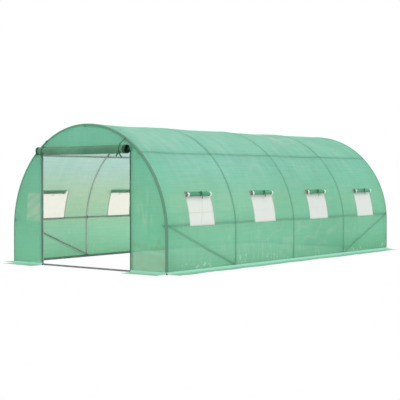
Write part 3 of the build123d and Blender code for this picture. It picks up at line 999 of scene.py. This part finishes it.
# Door edges: dark zip tape down both edges of the doorway, with the moulded teeth towards the opening, and a
# doubled band of cover cloth beside it.
zip_finish = ribbed_finish("zip_tape", paint(24, 58, 40), paint(54, 98, 70), (34.0, 3.0, 0.4, 0.75),
                           (260.0, 2.0, 0.6, 0.001), 0.6)
band_finish = ribbed_finish("doubled_cloth", paint(140, 216, 184), paint(128, 202, 168), (4.0, 4.0, 0.35, 0.65),
                            (420.0, 2.0, 0.3, 0.0005), 0.5, lit=paint(150, 214, 170))
ZIP_WIDTH = 0.016
ZIP_INSET = {-1: 0.010, 1: -0.005}  # the right half hangs a little into the doorway
TEETH_WIDTH, TEETH_OUT = 0.005, 0.0065
BAND_WIDTH, BAND_LAP = 0.034, 0.001
zips, bands = [], []
for side in (-1, 1):
    for parts, inset, lift, width, thick in (
            (zips, 0.0, 0.0004, ZIP_WIDTH, 0.0014), (zips, -TEETH_OUT, 0.0014, TEETH_WIDTH, 0.0024),
            (bands, (ZIP_WIDTH + BAND_WIDTH) / 2 - BAND_LAP, 0.0004, BAND_WIDTH, 0.0010)):
        x = side * (door_half + (ZIP_INSET[side] + inset))
        path = []
        for z in spaced([0.004, door_head], 0.03):
            spot = Vector((x, -panel_y - end_slack(x, z, END_SEEDS[-1]) - lift, z))
            path.append((spot, Vector((0, -1, 0)), Vector((1, 0, 0))))
        parts.append(edging_mesh(path, width, thick))
trim_piece("door_zips", zips, zip_finish, "tie_tape")
trim_piece("door_edge_bands", bands, band_finish, "cover_cloth")


# Door: the door cloth is unzipped from the posts and rolled up over the doorway. The zip halves along its
# edges bunch into dark gathers at both ends of the roll, and two tapes from the arch seam tie it up.
door_roll_cloth = woven_finish("rolled_door_cloth", [(104, 166, 132)], [(78, 136, 102)], [(70, 120, 90)], 0.0, 0.1,
                               painted_folds=0.0)
door_low, door_high = box_of("door_roll")
door_roll_radius = (door_high.z - door_low.z) / 2
ROLL_SLIP = Vector((-0.016, 0, -0.006))  # the roll hangs this far from the middle of the CAD one
DRAWN_IN = 0.024  # and is this much shorter, where the zip draws its ends in
door_roll_centre = (door_low + door_high) / 2 + ROLL_SLIP
door_roll_length = door_high.x - door_low.x - DRAWN_IN
tie_x = box_of("door_ties")[1].x - TIE_WIDTH / 2
LEFT_TIE_OUT = 0.024  # the left tape has slipped this far towards the roll's end
GATHER = 0.048
LOOSE, LOOSEST = 1.06, 1.10  # the roll against the CAD one, on average and at most


def door_roll_at(station, turn):
    x = door_roll_centre.x - station
    tied = sum(math.exp(-((x - side * tie_x) / 0.024) ** 2) for side in (-1, 1))
    to_end = (abs(station) - door_roll_length / 2 + GATHER) / 0.02
    gathered = min(1.0, max(0.0, to_end))
    lumps = noise.noise((math.cos(turn) * 0.9, math.sin(turn) * 0.9, station * 2.2)) * 0.08
    fine = noise.noise((math.cos(turn) * 2.2, math.sin(turn) * 2.2, station * 9.0)) * 0.03
    lobes = 0.11 * math.cos(3 * turn + 0.9 + station * 6) * gathered * (1.0 if x > 0 else 0.5)
    pleats = 0.05 * math.sin(station / 0.0125 * 2 * math.pi + math.sin(turn * 3)) * gathered
    steps = 0.06 * math.tanh((x - 0.10) / 0.012) - 0.05 * math.tanh((x + 0.44) / 0.012)
    steps *= max(0.0, math.cos(turn - 1.9))
    radius = door_roll_radius * (LOOSE + lumps + fine - 0.14 * tied + lobes + pleats + steps)
    drop = 0.004 * max(0.0, 1 - (x / tie_x) ** 2) - 0.004 * noise.noise((station * 1.4, 0.3, 8.0))
    return min(radius, door_roll_radius * LOOSEST), drop


DOOR_TURNS, DOOR_CORE = 7.25, 0.18
mesh, rolled_length = roll_mesh(
    "rolled_door", door_roll_centre, (-1, 0, 0), door_roll_length, DOOR_CORE, DOOR_TURNS, door_roll_at,
    lambda station: 1 if abs(station) > door_roll_length / 2 - GATHER else 0, (door_roll_cloth, zip_finish),
    off_end_cloth, [(0, 0.002, 0.016), (0, 0.002, 0.020)])
rolled_door = new_piece("rolled_door", mesh, "rolled_cloth", "door_roll")

TAIL = 0.021
STRAP = 0.020
SEAM_X, SEAM_Z = 0.772, 1.804  # where the tapes are sewn in, under the arch seam
OVER_X = 0.730  # where the right tape comes over the roll
SNUG = 0.89  # the tapes pull the roll in to this share
snug = door_roll_radius * SNUG + 0.0015
parts = []
for side in (-1, 1):
    centre = door_roll_centre.copy()
    centre.x = side * tie_x if side > 0 else -tie_x - LEFT_TIE_OUT
    ring = []
    for i in range(41):
        turn = math.radians(70) + 2 * math.pi * i / 40
        ring.append(centre + Vector((0, -math.cos(turn), math.sin(turn))) * snug)
    parts.append(edging_mesh(tape_path(ring, Vector((1, 0, 0)), centre), TIE_WIDTH, 0.0014))
    seam = Vector((side * SEAM_X, -panel_y - 0.004, SEAM_Z))
    over = Vector((OVER_X if side > 0 else centre.x - 0.006, centre.y - 0.006, centre.z + snug + 0.003))
    strap = [seam, seam * 0.5 + over * 0.5 + Vector((0, -0.006, 0)),
             seam * 0.15 + over * 0.85 + Vector((0, -0.008, 0)), over,
             centre + Vector((-side * 0.008, -snug * 0.86 - 0.003, snug * 0.55))]
    parts.append(tape_run(strap, (1, 0, 0), STRAP))
    front = centre + Vector((0, -snug * 0.74 - 0.005, -snug * 0.74))
    for size, shift in ((0.018, (0, 0, 0)), (0.014, (side * 0.008, 0.002, -0.016))):
        parts.append(knot_mesh(front + Vector(shift), size, (1, 0, 0), 0.014))
    tails = ((-0.056, -0.060), (0.052, -0.076)) if side > 0 else ((0.010, -0.060), (0.032, -0.074))
    for reach, fall in tails:
        line = ((0, 0, 0), (reach * 0.2, -0.007, fall * 0.25), (reach * 0.6, -0.004, fall * 0.6), (reach, 0.004, fall))
        parts.append(tape_run([front + Vector(offset) for offset in line], (1, 0.2, 0), TAIL))
trim_piece("door_tapes", parts, tape_finish, "tie_tape", "door_ties")


# Ground flaps: the foot of the cloth turned out on the ground all round the walls, with a double hem along
# its outer edge. They are weighted with soil or stones when the tunnel is set up; the corners stay open.
RISE = 0.034
TURN_OUT = 0.030
low, high = box_of("right_side_flap")
flap_width = 1.12 * (high.x - low.x)  # pulled out a little past its marked width
# Across the flap: painted shade in the fold at the wall's foot, then a painted highlight where the turned-up edge
# catches the light, then the flap's green.
flap_fold_shade, flap_highlight, flap_hem = paint(116, 172, 142), paint(182, 238, 218), paint(140, 226, 182)
flap_stripes = [(0.0, flap_fold_shade), (0.003, flap_highlight), (0.022, flap_highlight), (0.034, flap_hem), (flap_width, flap_hem)]
flap_finish = woven_finish("flap_cloth", [(170, 230, 202)], [(140, 208, 174)], [(140, 214, 172)], 0.02, 0.1,
                           across=flap_stripes, painted_folds=0.0)


def flap_piece(name, start, end, out, seed, node):
    """Flap along a wall from start to end on the ground, reaching out from it."""
    start, end, out = Vector(start), Vector(end), Vector(out)
    run = (end - start).normalized()
    length = (end - start).length
    rows = spaced([0.0, length], 0.04)
    columns = spaced([0.0, TURN_OUT], 0.006)[:-1] + spaced([TURN_OUT, flap_width], 0.028)

    def point_at(along, across):
        lift = RISE * max(0.0, 1 - across / TURN_OUT) ** 1.6
        ripple = noise.noise((along * 3.1, across * 4.0, seed)) * 0.005 + 0.0035
        ripple += max(0.0, noise.noise((along * 9.0 + across * 3, across * 7.0, seed + 4))) * 0.004
        calm = min(1.0, across / TURN_OUT) * (0.6 + 0.4 * across / flap_width)
        wander = noise.noise((along * 1.2, seed, 0.0)) * 0.010 * across / flap_width
        spot = start + run * along + out * (across + wander)
        return Vector((spot.x, spot.y, 0.0012 + lift + max(0.0, ripple) * calm))

    mesh = sheet_mesh(name, rows, columns, point_at, None, flap_finish, out.cross(run).z > 0)
    flap = new_piece(name, mesh, "cover_cloth", node)
    middle = [point_at(length / 2, across) for across in columns]
    flat_width = sum((after - before).length for before, after in zip(middle, middle[1:]))


for word, side in (("right", 1), ("left", -1)):
    low, high = box_of(f"{word}_side_flap")
    wall_x = low.x if side > 0 else high.x
    flap_piece(f"{word}_side_ground_flap", (wall_x, low.y, 0), (wall_x, high.y, 0), (side, 0, 0), 1.5 + side,
               f"{word}_side_flap")
    low, high = box_of(f"{word}_front_flap")
    flap_piece(f"{word}_front_ground_flap", (low.x, high.y, 0), (high.x, high.y, 0), (0, -1, 0), 5.5 + side,
               f"{word}_front_flap")
low, high = box_of("rear_flap")
flap_piece("rear_ground_flap", (low.x, low.y, 0), (high.x, low.y, 0), (0, 1, 0), 9.5, "rear_flap")


# Stage: a white floor and background, soft daylight from all round with a little more from the upper right and
# a low warm light from the left, and the camera where the photograph was taken from.
def seen_directly(add):
    """1 for what is looked at, straight, in a reflection or through the cloth; 0 where it only lights the scene."""
    path = add("LightPath")
    seen = larger(add, path.outputs["Is Camera Ray"], path.outputs["Is Glossy Ray"])
    return larger(add, seen, path.outputs["Is Transmission Ray"])


WHITE = (1.0, 1.0, 1.0, 1.0)
floor_finish, add, join, surface = new_finish("studio_floor")
matt = add("BsdfDiffuse", Color=(0.82, 0.82, 0.82, 1.0)).outputs[0]
white_matt = add("BsdfDiffuse", Color=WHITE).outputs[0]
glow = add("Emission", Color=WHITE, Strength=1.0).outputs[0]
seen_floor = add("MixShader", _0=0.97, _1=white_matt, _2=glow).outputs[0]
join(add("MixShader", _0=seen_directly(add), _1=matt, _2=seen_floor).outputs[0], surface)
FLOOR = 60.0
floor_mesh = bpy.data.meshes.new("studio_floor")
floor_corners = [(-FLOOR, -FLOOR, 0), (FLOOR, -FLOOR, 0), (FLOOR, FLOOR, 0), (-FLOOR, FLOOR, 0)]
floor_mesh.from_pydata(floor_corners, [], [(0, 1, 2, 3)])
floor_mesh.materials.append(floor_finish)
linked("studio_floor", floor_mesh)

world = bpy.data.worlds.new("daylight")
bpy.context.scene.world = world
world.use_nodes = True
add, join = node_tools(world.node_tree)
sky = add("Background", Color=(0.97, 0.99, 1.0, 1.0), Strength=0.72).outputs[0]
white = add("Background", Color=WHITE, Strength=1.0).outputs[0]
both = add("MixShader", _0=seen_directly(add), _1=sky, _2=white).outputs[0]
join(both, add("OutputWorld").inputs["Surface"])

for name, energy, spread_angle, colour, way in (("soft_sun", 0.9, 40, (1.0, 1.0, 1.0), (0.75, -0.3, 0.85)),
                                                ("low_sun", 0.38, 60, (1.0, 0.95, 0.86), (-0.9, 0.1, 0.42))):
    sun = bpy.data.lights.new(name, "SUN")
    sun.energy = energy
    sun.angle = math.radians(spread_angle)
    sun.color = colour
    linked(name, sun).rotation_euler = Vector(way).to_track_quat("Z", "Y").to_euler()

# The camera that was fitted to the photograph
CAMERA_PLACE = (9.868, -12.763, 1.266)
CAMERA_YAW, CAMERA_PITCH = math.radians(38.67), math.radians(-1.28)
LENS = 88.99  # mm, on a sensor 36 mm wide
camera_data = bpy.data.cameras.new("camera")
camera_data.sensor_width = 36.0
camera_data.lens = LENS
camera_data.clip_end = 200.0
camera = linked("camera", camera_data)
camera.location = CAMERA_PLACE
camera.rotation_euler = (math.pi / 2 + CAMERA_PITCH, 0.0, CAMERA_YAW)
bpy.context.scene.camera = camera
bpy.context.scene.view_settings.view_transform = "Standard"
